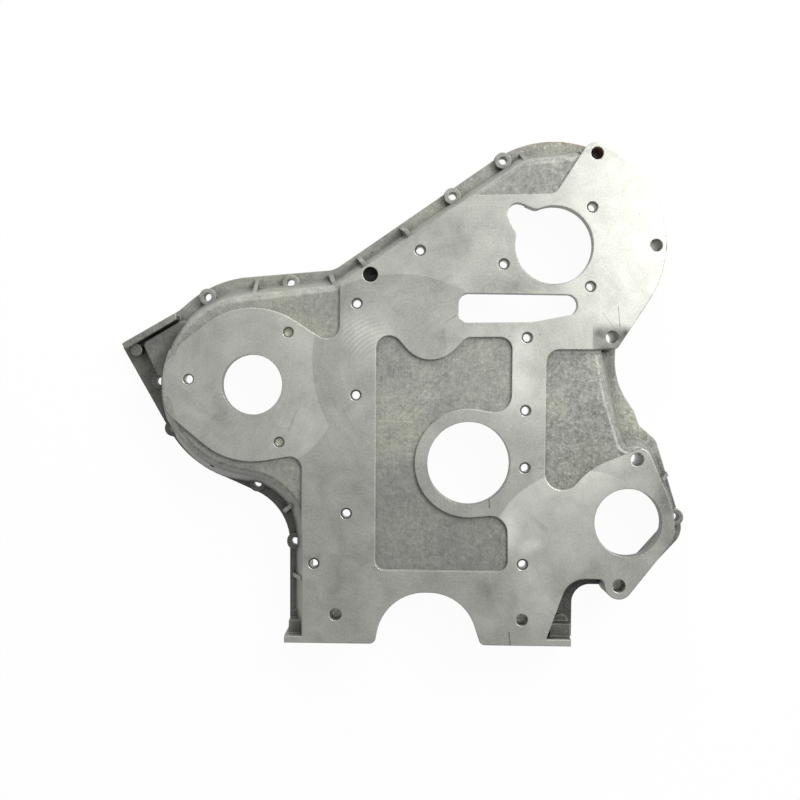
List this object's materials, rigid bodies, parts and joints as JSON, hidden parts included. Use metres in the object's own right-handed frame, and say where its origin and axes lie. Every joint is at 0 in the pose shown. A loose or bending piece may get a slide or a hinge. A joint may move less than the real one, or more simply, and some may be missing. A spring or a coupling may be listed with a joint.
{
  "type": "timing cover",
  "caption": "Cast aluminium engine timing gear case: machined mounting face with cast pockets, gear and pump bores, crankshaft notch, ribbed walls and an open gear chamber behind.",
  "frame": {"origin": "on the idler bore axis, in the plane of the machined mounting face", "axes": "+Z out of the machined face towards the engine block, +Y towards the camshaft end, +X towards the hydraulic pump side"},
  "size_m": [0.4755, 0.421, 0.056],
  "materials": {
    "cast_aluminium": "die cast, with a milled mounting face"
  },
  "bodies": {
    "root": {"timing_cover": "cast_aluminium"}
  },
  "joints": []
}
